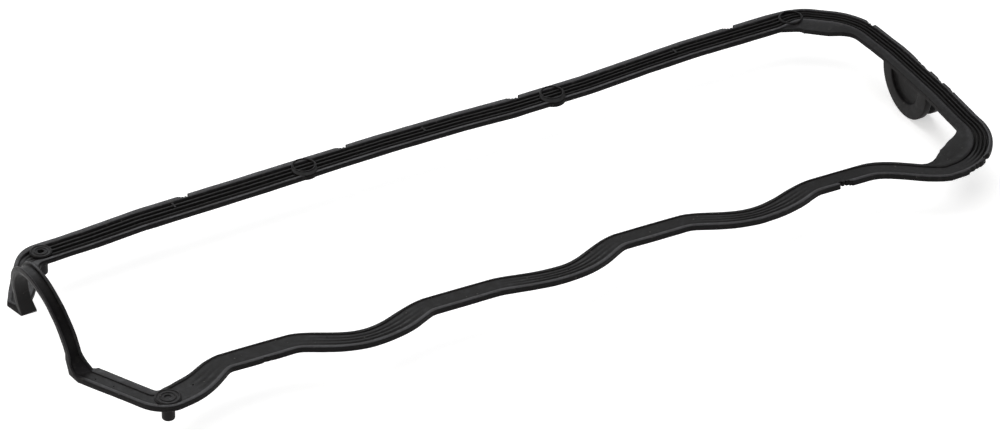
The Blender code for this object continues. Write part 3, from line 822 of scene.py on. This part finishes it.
def band_tree():
    """Sweep the section along the rail, with the sizes that each station carries, and store each
    point's painted light and shade.
    """
    tree = GeometryTree("Gasket band", (
        ("Rail", "Object", None), ("Section", "Object", None), ("Edge Wave", "Float", 0.0003),
        ("Wave Scale", "Float", 90.0), ("Seed", "Float", 3.0), ("Material", "Material", None)))
    rail = tree.node("GeometryNodeObjectInfo", "Geometry", {"Object": tree.inputs["Rail"]})
    outline = tree.node("GeometryNodeObjectInfo", "Geometry", {"Object": tree.inputs["Section"]})
    rail_curve = tree.node("GeometryNodeMeshToCurve", links={"Mesh": rail})
    outline_curve = tree.node("GeometryNodeMeshToCurve", links={"Mesh": outline})
    swept = tree.node("GeometryNodeCurveToMesh", links={
        "Curve": rail_curve, "Profile Curve": outline_curve})

    finish = tree.node("ShaderNodeSeparateXYZ", links={"Vector": tree.attribute("mark_finish")})
    parts = finish.node.outputs
    noise = tree.node("ShaderNodeTexNoise", 0, {
        "Vector": tree.attribute("rail_at"), "W": tree.inputs["Seed"],
        "Scale": tree.inputs["Wave Scale"], "Detail": 3.0}, noise_dimensions="4D")
    wander = tree.maths("MULTIPLY", tree.maths("SUBTRACT", noise, 0.5), tree.inputs["Edge Wave"])
    wander = tree.maths("MULTIPLY", wander, parts["Y"])
    across = tree.maths("ADD", tree.maths("ADD", tree.sizes("widths"), tree.sizes("cells")),
                        tree.maths("MULTIPLY", wander, -2.0))
    above = tree.maths("ADD", tree.sizes("heights"), parts["X"])
    sideways = tree.vector("SCALE", tree.attribute("rail_side"), across)
    upwards = tree.vector("SCALE", tree.attribute("rail_up"), above)
    spot = tree.vector("ADD", tree.attribute("rail_at"), tree.vector("ADD", sideways, upwards))
    # The point's painted shade, lifted by the station's painted highlight
    tone = tree.maths("ADD", parts["Z"], tree.sizes("shares"))
    moved = tree.node("GeometryNodeSetPosition", links={"Geometry": swept, "Position": spot})
    toned = tree.node("GeometryNodeStoreNamedAttribute", links={
        "Geometry": moved, "Name": "tone", "Value": tone}, data_type="FLOAT", domain="CORNER")
    return tree.end(toned, tree.inputs["Material"])


def pinhole_tree():
    """Small balls of seeded sizes, one at each point."""
    tree = GeometryTree("Gasket pinholes", (
        ("Points", "Object", None), ("Radius", "Float", 0.0003), ("Seed", "Int", 7),
        ("Material", "Material", None)))
    spots = tree.node("GeometryNodeObjectInfo", "Geometry", {"Object": tree.inputs["Points"]})
    pin = tree.node("GeometryNodeMeshIcoSphere", links={
        "Radius": tree.inputs["Radius"], "Subdivisions": 2})
    points = tree.node("GeometryNodeMeshToPoints", links={"Mesh": spots})
    grow = tree.node("FunctionNodeRandomValue", 1, {
        "Min": 0.6, "Max": 1.25, "Seed": tree.inputs["Seed"]}, data_type="FLOAT")
    placed = tree.node("GeometryNodeInstanceOnPoints", links={
        "Points": points, "Instance": pin, "Scale": grow})
    return tree.end(placed, tree.inputs["Material"])


def evaluated_mesh(thing):
    """A plain mesh of an object with its modifiers applied."""
    bpy.context.view_layer.update()
    depsgraph = bpy.context.evaluated_depsgraph_get()
    return bpy.data.meshes.new_from_object(thing.evaluated_get(depsgraph))


def grown(name, group, values):
    """The mesh that a Geometry Nodes tree makes, with each input set by its socket's identifier."""
    carrier = put(name, bpy.data.meshes.new(name))
    modifier = carrier.modifiers.new("Nodes", "NODES")
    modifier.node_group = group
    for item in group.interface.items_tree:
        if item.item_type == "SOCKET" and item.in_out == "INPUT" and item.name in values:
            modifier[item.identifier] = values[item.name]
    mesh = evaluated_mesh(carrier)
    carrier.modifiers.remove(modifier)
    take_away(carrier)
    mesh.name = name
    return mesh


def face_outwards(mesh):
    """Point all faces of a closed mesh outwards."""
    source = bmesh.new()
    source.from_mesh(mesh)
    bmesh.ops.remove_doubles(source, verts=source.verts, dist=0.000001)
    bmesh.ops.recalc_face_normals(source, faces=source.faces)
    source.to_mesh(mesh)
    source.free()


def softened(profile, radius, steps=4):
    """The same profile with each inner corner rounded off."""
    result = [Vector(profile[0])]
    for before, corner, after in zip(profile, profile[1:], profile[2:]):
        before, corner, after = Vector(before), Vector(corner), Vector(after)
        reach = min(radius, 0.45 * (before - corner).length, 0.45 * (after - corner).length)
        start = corner + (before - corner).normalized() * reach
        end = corner + (after - corner).normalized() * reach
        for i in range(steps + 1):
            share = i / steps
            result.append(start.lerp(corner, share).lerp(corner.lerp(end, share), share))
    result.append(Vector(profile[-1]))
    return result


def turned(name, profile, sides, matrix):
    """A solid turned from a profile of (radius, height) points about its own Z axis."""
    source = bmesh.new()
    rings = []
    for radius, height in profile:
        if radius < 0.000001:
            rings.append([source.verts.new(matrix @ Vector((0, 0, height)))])
            continue
        ring = []
        for i in range(sides):
            turn = 2 * pi * i / sides
            point = Vector((radius * cos(turn), radius * sin(turn), height))
            ring.append(source.verts.new(matrix @ point))
        rings.append(ring)
    pairs = list(zip(rings, rings[1:]))
    if len(rings[0]) > 1:
        pairs.append((rings[-1], rings[0]))
    for first, second in pairs:
        for i in range(sides):
            j = (i + 1) % sides
            corners = [first[i % len(first)], first[j % len(first)], second[j % len(second)],
                       second[i % len(second)]]
            corners = list(dict.fromkeys(corners))
            if len(corners) > 2:
                source.faces.new(corners)
    bmesh.ops.recalc_face_normals(source, faces=source.faces)
    return from_bmesh(name, source)


def block(name, low, high):
    """A box between two corners of the drawing."""
    low, high = Vector(low), Vector(high)
    source = bmesh.new()
    bmesh.ops.create_cube(source, size=1)
    matrix = at(*((low + high) / 2)) @ Matrix.Diagonal((high - low).to_4d())
    bmesh.ops.transform(source, matrix=matrix, verts=source.verts)
    return from_bmesh(name, source)


def bead(boss, radius, height):
    """Profile of a raised ring, from its inner side to its outer side."""
    half = boss.bead_half
    return [(radius - 2 * half, height), (radius - half, height + boss.bead_height),
            (radius + half, height + boss.bead_height), (radius + 2 * half, height)]


def at(x, y, z=0.0):
    """A place of the drawing in the frame."""
    return Matrix.Translation(Vector((x, y, z)) + DRAWING)


def add_light_and_wear(thing, value):
    """Give a helper the level of painted light and shade, which also sets its dust and wear, that
    the rubber's colours read.
    """
    layer = thing.data.attributes.new("tone", "FLOAT", "CORNER")
    layer.data.foreach_set("value", [value] * len(layer.data))


def combine(body, tools, operation):
    """Join or cut the body with some tools by exact Booleans, and take the tools away."""
    for tool in tools:
        modifier = body.modifiers.new(tool.name, "BOOLEAN")
        modifier.operation = operation
        modifier.solver = "EXACT"
        modifier.object = tool
    mesh = evaluated_mesh(body)
    body.modifiers.clear()
    body.data = mesh
    take_away(*tools)


def helper(name):
    """A helper object made by an earlier step."""
    thing = bpy.data.objects.get(name)
    if thing is None:
        raise RuntimeError("run the earlier steps first: %s is missing" % name)
    return thing


def new_material(name):
    """A material with the usual nodes, and short calls for its tree."""
    material = bpy.data.materials.new(name)
    material.use_nodes = True
    return material, Nodes(material.node_tree)


def rubber_material(look):
    """Satin black rubber with dust, grain, faint flow marks and worn ridges, and with shade painted
    into its grooves and onto its walls.
    """
    material, tree = new_material("gasket_rubber")
    maths = tree.maths
    where = tree.node("ShaderNodeTexCoord", "Object")

    def ramp(value, low, high):
        return tree.node("ShaderNodeMapRange", "Result", {
            "Value": value, "From Min": low, "From Max": high})

    def noise(scale, detail):
        return tree.node("ShaderNodeTexNoise", "Fac", {
            "Vector": where, "Scale": scale, "Detail": detail})

    def mixed(share, first, second):
        # The node's colour inputs are its sockets 6 and 7, and its colour output is socket 2
        return tree.node("ShaderNodeMix", 2, {0: share, 6: first, 7: second}, data_type="RGBA")

    # Painted light of each place, from 0 for full painted shade in grooves, walls and holes to 1
    # for the face colour; it also sets how much dust and wear shows
    tone = tree.node("ShaderNodeAttribute", "Fac", attribute_name="tone")
    cloud, mottle, grain = noise(60.0, 4.0), noise(420.0, 3.0), noise(2600.0, 2.0)
    specks = tree.node("ShaderNodeTexVoronoi", "Distance", {
        "Vector": where, "Scale": 340.0, "Randomness": 1.0})

    # Painted shade: the colour goes from the painted shade colour to the face colour as the painted
    # light rises, with a random cloud
    face_share = maths("MULTIPLY", tone, ramp(cloud, 0.2, 0.75))
    face_share = maths("ADD", maths("MULTIPLY", tone, 0.5), maths("MULTIPLY", face_share, 0.5))
    dust_share = maths("ADD", maths("MULTIPLY", tone, 0.16), 0.03)
    dust_share = maths("MULTIPLY", ramp(mottle, 0.52, 0.78), dust_share)
    flecks = maths("MULTIPLY", ramp(specks, 0.16, 0.06), ramp(mottle, 0.55, 0.62))
    dust_share = maths("ADD", dust_share, maths("MULTIPLY", flecks, 0.25))
    rubber = mixed(face_share, look.painted_shade, look.face)
    rough = maths("ADD", look.roughness, maths("MULTIPLY", ramp(mottle, 0.3, 0.7), 0.14))
    fine = tree.node("ShaderNodeBump", "Normal", {
        "Height": grain, "Strength": 0.25, "Distance": 0.00005})
    flow = tree.node("ShaderNodeBump", "Normal", {
        "Height": mottle, "Strength": 0.35, "Distance": 0.00012, "Normal": fine})
    tree.feed(tree.tree.nodes["Principled BSDF"], {
        "Base Color": mixed(dust_share, rubber, look.dust),
        "Roughness": maths("ADD", rough, maths("MULTIPLY", dust_share, 0.6)),
        # Weaker reflection where shade is painted, which darkens the grooves and walls further
        "Specular IOR Level": maths("ADD", maths("MULTIPLY", tone, 0.2), 0.07),
        "Normal": flow})
    return material


class GASKET_OT_band(Operator):
    """Sweep the ribbed band round the engine and over the camshaft"""
    bl_idname = "gasket.band"
    bl_label = "Band and arch"

    def execute(self, context):
        scene = context.scene
        band, arch = scene.gasket_band, scene.gasket_arch
        shapes = band_shapes(band, arch)
        stations = flat_stations(band, arch, shapes) + foot_stations(band, arch, shapes, -1)
        stations += arch_stations(arch, shapes) + foot_stations(band, arch, shapes, 1)[::-1]
        rail = rail_object(stations, band.ribs)
        outline = section_object(section_marks(band.ribs, band.edge_round))
        material = rubber_material(scene.gasket_look)
        mesh = grown("gasket_band", band_tree(), {
            "Rail": rail, "Section": outline, "Edge Wave": band.wave, "Material": material})
        face_outwards(mesh)
        for layer in [layer.name for layer in mesh.attributes
                      if layer.name.startswith(("rail_", "mark_"))]:
            mesh.attributes.remove(mesh.attributes[layer])
        put("band_solid", mesh)
        take_away(rail, outline)
        return {"FINISHED"}


class GASKET_OT_bosses(Operator):
    """Turn the three ring bosses and the two corner bosses with their pegs"""
    bl_idname = "gasket.bosses"
    bl_label = "Bosses and pegs"

    def execute(self, context):
        scene = context.scene
        boss, band = scene.gasket_boss, scene.gasket_band
        low = OVERLAP - band.thickness
        for i, (x, y, plain) in enumerate(SIDE_BOSSES):
            hole = boss.bead_radius - 2 * boss.bead_half
            profile = bead(boss, boss.bead_radius, RING_TOP)
            profile += [(boss.radius, RING_TOP), (boss.radius, low), (hole, low)]
            profile = softened(profile, BOSS_ROUNDING)
            add_light_and_wear(turned("boss_tool_%d" % i, profile, BOSS_SIDES, at(x, y)), PIECE_LIGHT_AND_WEAR["ring"])
            if plain:
                self.crescent(boss, i, x, y, hole, low)
        for i, (x, y) in enumerate(RIB_BARS):
            low_end, high_end = [(x + along, y + across, height)
                                 for along, across, height in (BAR_LOW, BAR_HIGH)]
            bar = block("boss_tool_bar_%d" % i, low_end, high_end)
            add_light_and_wear(bar, PIECE_LIGHT_AND_WEAR["bar"])
        places = (NEAR_CORNER_BOSS, (FAR_CORNER_BOSS_X, boss.far_corner_y))
        for i, (x, y) in enumerate(places):
            share, top = (FAR_CORNER_SHARE, FAR_CORNER_TOP) if i else (1.0, 0.0)
            profile = self.corner_profile(boss, share, top, low, band.thickness)
            profile = softened(profile, BOSS_ROUNDING)
            name = "boss_tool_%d" % (len(SIDE_BOSSES) + i)
            add_light_and_wear(turned(name, profile, BOSS_SIDES, at(x, y)), PIECE_LIGHT_AND_WEAR["corner"])
        return {"FINISHED"}

    def corner_profile(self, boss, share, top, low, thickness):
        """Profile of a corner boss with its blind hole, two rings and peg."""
        radius, depth, peg = boss.corner_radius * share, boss.hole_depth, boss.peg_radius
        bottom = -thickness - boss.peg_length
        profile = [(0, -depth), (boss.hole_radius, -depth), (boss.hole_radius, top)]
        for middle in (boss.inner_bead, boss.corner_bead):
            profile += bead(boss, middle * share, top)
        profile += [(radius, top), (radius, low), (peg, low)]
        return profile + [(peg, bottom + PEG_BEVEL), (peg - PEG_BEVEL, bottom), (0, bottom)]

    def crescent(self, boss, index, x, y, hole, low):
        """The plain boss on the inner side of a ring, cut away inside the ring."""
        radius, top = boss.body_radius, CRESCENT_TOP
        profile = [(0, top), (radius, top), (radius, low), (0, low)]
        body = turned("boss_tool_body_%d" % index, softened(profile, CRESCENT_ROUNDING),
                      BOSS_SIDES, at(x - CRESCENT_LEFT, y - boss.body_shift))
        add_light_and_wear(body, PIECE_LIGHT_AND_WEAR["crescent"])
        profile = [(0, 0.001), (hole, 0.001), (hole, 2 * low), (0, 2 * low)]
        inside = turned("boss_inside", profile, BOSS_SIDES, at(x, y))
        add_light_and_wear(inside, PIECE_LIGHT_AND_WEAR["crescent"])
        combine(body, [inside], "DIFFERENCE")


class GASKET_OT_plug(Operator):
    """Turn the half-moon plug with its two lobes and the pocket in its front"""
    bl_idname = "gasket.plug"
    bl_label = "Half-moon plug"

    def execute(self, context):
        scene = context.scene
        plug, band, arch = scene.gasket_plug, scene.gasket_band, scene.gasket_arch
        gap = plug.front_lobe
        second = gap + plug.gap
        back = second + plug.back_lobe
        profile = [(0, back), (plug.back_radius, back), (plug.back_radius, second),
                   (plug.core_radius, second), (plug.core_radius, gap), (plug.radius, gap),
                   (plug.radius, 0), (plug.pocket_radius, 0),
                   (plug.pocket_radius, plug.pocket_depth), (0, plug.pocket_depth)]
        turn = Matrix.Rotation(pi / 2, 4, "Y")
        matrix = at(plug.front, arch.y, -plug.drop) @ turn
        disc = turned("plug_tool", softened(profile, plug.rounding), PLUG_SIDES, matrix)
        reach = 2 * plug.radius
        upper = block("plug_upper_half",
                      (plug.front - reach, arch.y - reach, -band.thickness / 2),
                      (plug.front + reach, arch.y + reach, reach))
        combine(disc, [upper], "DIFFERENCE")
        add_light_and_wear(disc, PIECE_LIGHT_AND_WEAR["plug"])
        return {"FINISHED"}


class GASKET_OT_join(Operator):
    """Join the bosses and the plug to the band, and cut the notches and pinholes"""
    bl_idname = "gasket.join"
    bl_label = "Join and cut"

    def execute(self, context):
        scene = context.scene
        band = scene.gasket_band
        body = helper("band_solid")
        tools = [thing for thing in bpy.data.objects if thing.name.startswith("boss_tool")]
        tools.sort(key=lambda thing: thing.name)
        combine(body, tools + [helper("plug_tool")], "UNION")
        shapes = band_shapes(band, scene.gasket_arch)
        stations = flat_stations(band, scene.gasket_arch, shapes)
        cutters = [notch_cutter("notch_tool_%d" % i, stations, band.thickness, *notch)
                   for i, notch in enumerate(NOTCHES)]
        cutters.append(pinhole_cutter(scene))
        combine(body, cutters, "DIFFERENCE")
        finish_gasket(body)
        return {"FINISHED"}


def edge_rows(stations):
    """The outer and the inner edge of the flat part of the band, as rows of points in plan."""
    outer, inner = [], []
    for station in stations:
        half = station.shape.width / 2
        outer.append((station.point - station.side * half).to_2d())
        inner.append((station.point + station.side * (half + station.shape.flat)).to_2d())
    return outer, inner[::-1]


def nearest_on_edges(stations, spot):
    """The point of an edge nearest to a spot, with the edge's direction there."""
    best = None
    for row in edge_rows(stations):
        for start, end in zip(row, row[1:]):
            run = end - start
            along = min(max((spot - start).dot(run) / run.length_squared, 0), 1)
            point = start + run * along
            if best is None or (point - spot).length < (best[0] - spot).length:
                best = (point, run.normalized())
    return best


def notch_cutter(name, stations, thickness, x, y, run_length, depth):
    """Cutter for one torn notch: a scoop that ends in a ragged step at its right side."""
    point, run = nearest_on_edges(stations, Vector((x, y)))
    outline = [(0.5 * run_length, 2 * depth), (-0.5 * run_length, 2 * depth)]
    outline += [(along * run_length, -into * depth) for along, into in TEARS]
    source = bmesh.new()
    turn = at(point.x, point.y) @ Matrix.Rotation(atan2(run.y, run.x), 4, "Z")
    corners = [source.verts.new(turn @ Vector((a, b, -2 * thickness))) for a, b in outline]
    top = bmesh.ops.extrude_face_region(source, geom=[source.faces.new(corners)])["geom"]
    bmesh.ops.translate(source, vec=(0, 0, 3 * thickness),
                        verts=[item for item in top if isinstance(item, bmesh.types.BMVert)])
    bmesh.ops.recalc_face_normals(source, faces=source.faces)
    cutter = from_bmesh(name, source)
    # The notch's torn faces are painted dark as shade
    add_light_and_wear(cutter, PIECE_LIGHT_AND_WEAR["notch"])
    return cutter


def pinhole_cutter(scene):
    """One cutter of small balls in the floor of the near side."""
    look = scene.gasket_look
    places = [tuple(DRAWING + Vector((x, y, -1.5 * look.pinhole))) for x, y in PINHOLES]
    mesh = bpy.data.meshes.new("pinhole_points")
    mesh.from_pydata(places, [], [])
    points = put("pinhole_points", mesh)
    rubber = helper("band_solid").data.materials[0]
    cutter = put("pinhole_tool", grown("pinhole_tool", pinhole_tree(), {
        "Points": points, "Radius": look.pinhole, "Material": rubber}))
    take_away(points)
    # The pinholes are painted in the full painted shade colour
    add_light_and_wear(cutter, PIECE_LIGHT_AND_WEAR["pinhole"])
    return cutter


def finish_gasket(body):
    """Smooth the moulding and let it stand for the CAD solid."""
    mesh = body.data
    mesh.shade_smooth()
    mesh.set_sharp_from_angle(angle=SHARP_ANGLE)
    body.name = "moulded_gasket"
    mesh.name = "moulded_gasket"
    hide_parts(NODE)
    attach(body, BODY)


class GASKET_OT_stage(Operator):
    """Set the floor, the soft lamps, the even light and the camera"""
    bl_idname = "gasket.stage"
    bl_label = "Stage"

    def execute(self, context):
        stage = context.scene.gasket_stage
        context.scene.view_settings.view_transform = "Standard"
        make_floor()
        make_sky(context.scene, stage)
        for key, settings in LAMPS.items():
            lamp("lamp_" + key, getattr(stage, key + "_power"), *settings)
        make_camera(context.scene, stage)
        return {"FINISHED"}


def bright_to_camera(tree):
    """1 for camera, glossy and transmission rays, and 0 for the rest."""
    total = tree.node("ShaderNodeLightPath", "Is Camera Ray")
    path = total.node.outputs
    for name in ("Is Glossy Ray", "Is Transmission Ray"):
        total = tree.maths("MAXIMUM", total, path[name])
    return total


def make_floor():
    """A wide pale floor that keeps a soft shadow."""
    source = bmesh.new()
    bmesh.ops.create_grid(source, x_segments=1, y_segments=1, size=FLOOR_HALF)
    floor = from_bmesh("floor", source)
    material, tree = new_material("pale_floor")
    shader = tree.tree.nodes["Principled BSDF"]
    tree.feed(shader, {
        "Base Color": (0.9, 0.9, 0.9, 1), "Roughness": 0.9, "Specular IOR Level": 0.0})
    strength = tree.maths("MULTIPLY", bright_to_camera(tree), 0.55)
    glow = tree.node("ShaderNodeEmission", 0, {"Color": (1, 1, 1, 1), "Strength": strength})
    both = tree.node("ShaderNodeAddShader", 0, {0: shader.outputs[0], 1: glow})
    tree.feed(tree.tree.nodes["Material Output"], {"Surface": both})
    floor.data.materials.append(material)


def make_sky(scene, stage):
    """Even light all round, white where the camera looks past the floor."""
    world = bpy.data.worlds.new("studio")
    world.use_nodes = True
    scene.world = world
    tree = Nodes(world.node_tree)
    strength = tree.node("ShaderNodeMapRange", 0, {
        "Value": tree.node("ShaderNodeLightPath", "Is Camera Ray"),
        "To Min": stage.sky, "To Max": 1.0})
    tree.feed(world.node_tree.nodes["Background"], {"Color": (1, 1, 1, 1), "Strength": strength})


def lamp(name, power, spot, size, tint):
    """A rectangular soft lamp that faces the gasket."""
    data = bpy.data.lights.new(name, "AREA")
    data.shape = "RECTANGLE"
    data.size, data.size_y = size
    data.energy = power
    data.color = tint
    thing = bpy.data.objects.new(name, data)
    thing.location = spot
    thing.rotation_euler = (-Vector(spot)).to_track_quat("-Z", "Y").to_euler()
    bpy.context.scene.collection.objects.link(thing)


def make_camera(scene, stage):
    """The photograph's viewing angle, aimed at the middle of the drawing."""
    a, e = stage.azimuth, stage.elevation
    back = Vector((sin(a) * cos(e), -cos(a) * cos(e), sin(e)))
    data = bpy.data.cameras.new("camera")
    data.sensor_width = 36.0
    data.lens = stage.lens
    data.clip_end = 50.0
    camera = bpy.data.objects.new("camera", data)
    camera.location = DRAWING + back * stage.distance
    camera.rotation_euler = back.to_track_quat("Z", "Y").to_euler()
    scene.collection.objects.link(camera)
    scene.camera = camera


class GASKET_PT_panel(Panel):
    """Lists the gasket's steps and sizes"""
    bl_label = "Valve cover gasket"
    bl_idname = "GASKET_PT_panel"
    bl_space_type = "VIEW_3D"
    bl_region_type = "UI"
    bl_category = "Gasket"

    def draw(self, context):
        for step in STEPS:
            self.layout.operator(step.bl_idname)
        for key, group in GROUPS.items():
            box = self.layout.box()
            box.label(text=group.__doc__)
            for item in group.__annotations__:
                box.prop(getattr(context.scene, key), item)


STEPS = (GASKET_OT_band, GASKET_OT_bosses, GASKET_OT_plug, GASKET_OT_join, GASKET_OT_stage)


def register():
    """Add the classes and the scene's settings."""
    for item in tuple(GROUPS.values()) + STEPS + (GASKET_PT_panel,):
        bpy.utils.register_class(item)
    for key, group in GROUPS.items():
        setattr(bpy.types.Scene, key, PointerProperty(type=group))


def unregister():
    """Take the settings and the classes away again."""
    for key in GROUPS:
        delattr(bpy.types.Scene, key)
    for item in reversed(tuple(GROUPS.values()) + STEPS + (GASKET_PT_panel,)):
        bpy.utils.unregister_class(item)


def main():
    """Build the gasket and its stage in order."""
    register()
    bpy.ops.gasket.band()
    bpy.ops.gasket.bosses()
    bpy.ops.gasket.plug()
    bpy.ops.gasket.join()
    bpy.ops.gasket.stage()


if __name__ == "__main__":
    main()
